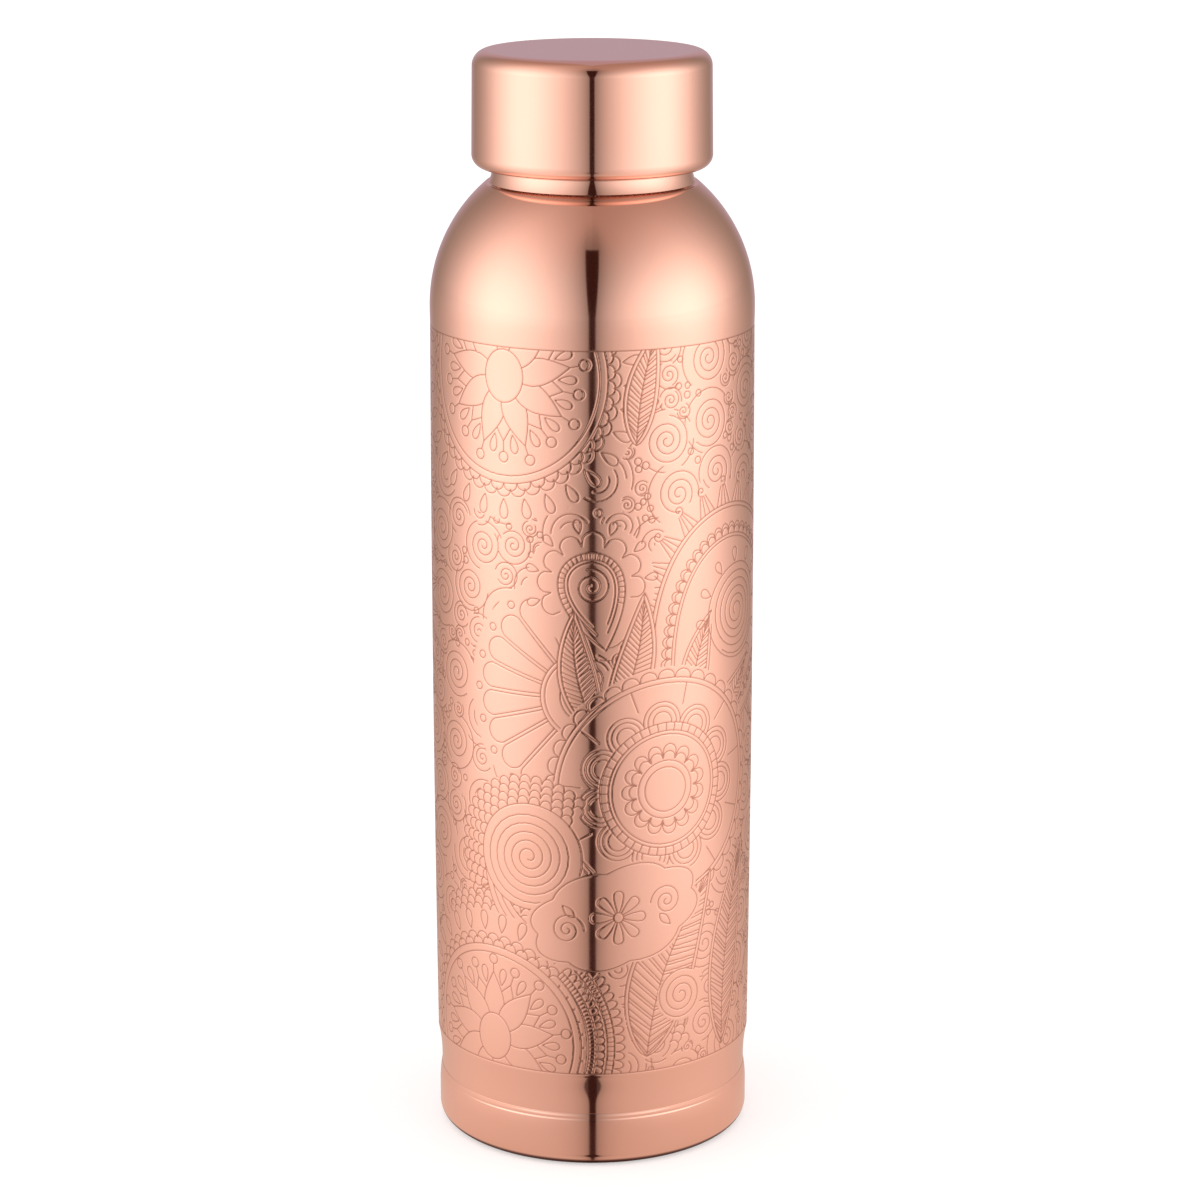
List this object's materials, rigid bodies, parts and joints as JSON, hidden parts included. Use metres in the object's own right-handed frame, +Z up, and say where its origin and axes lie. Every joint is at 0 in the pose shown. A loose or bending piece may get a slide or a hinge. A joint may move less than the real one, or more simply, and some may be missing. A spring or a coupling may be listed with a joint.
{
  "type": "water bottle",
  "caption": "Slim copper water bottle with a domed shoulder, an engraved body band and a screw-on cap that lifts clear of the threaded mouth.",
  "frame": {"origin": "centre of the round foot ring, on the surface that the bottle stands on", "axes": "+Z up along the bottle's axis, +X to the right and -Y towards a viewer who faces the front of the engraving"},
  "size_m": [0.0755, 0.0755, 0.257],
  "materials": {
    "body_copper": "polished copper with a satin engraved band",
    "base_copper": "mirror-polished copper",
    "collar_copper": "polished copper",
    "lid_copper": "mirror-polished copper",
    "thread_copper": "unpolished copper, lightly darkened",
    "seal_rubber": "translucent white silicone"
  },
  "bodies": {
    "bottle": {"body_shell": "body_copper", "base_cup": "base_copper", "neck_collar": "collar_copper", "neck_thread": "thread_copper"},
    "seal": {"lid_seal": "seal_rubber"},
    "lid": {"lid_shell": "lid_copper", "lid_sleeve": "thread_copper", "lid_liner": "thread_copper"}
  },
  "joints": [
    {"name": "lid_rise", "type": "slide", "parent": "bottle", "child": "seal", "axis": [0, 0, 1], "range_m": [0, 0.02701]},
    {"name": "lid_turn", "type": "hinge", "parent": "seal", "child": "lid", "pos_m": [0, 0, 0.24], "axis": [0, 0, 1], "range_deg": [0, 2160]}
  ],
  "couplings": [
    {"joint": "lid_rise", "follows": "lid_turn", "m_per_rad": 0.0007162}
  ]
}
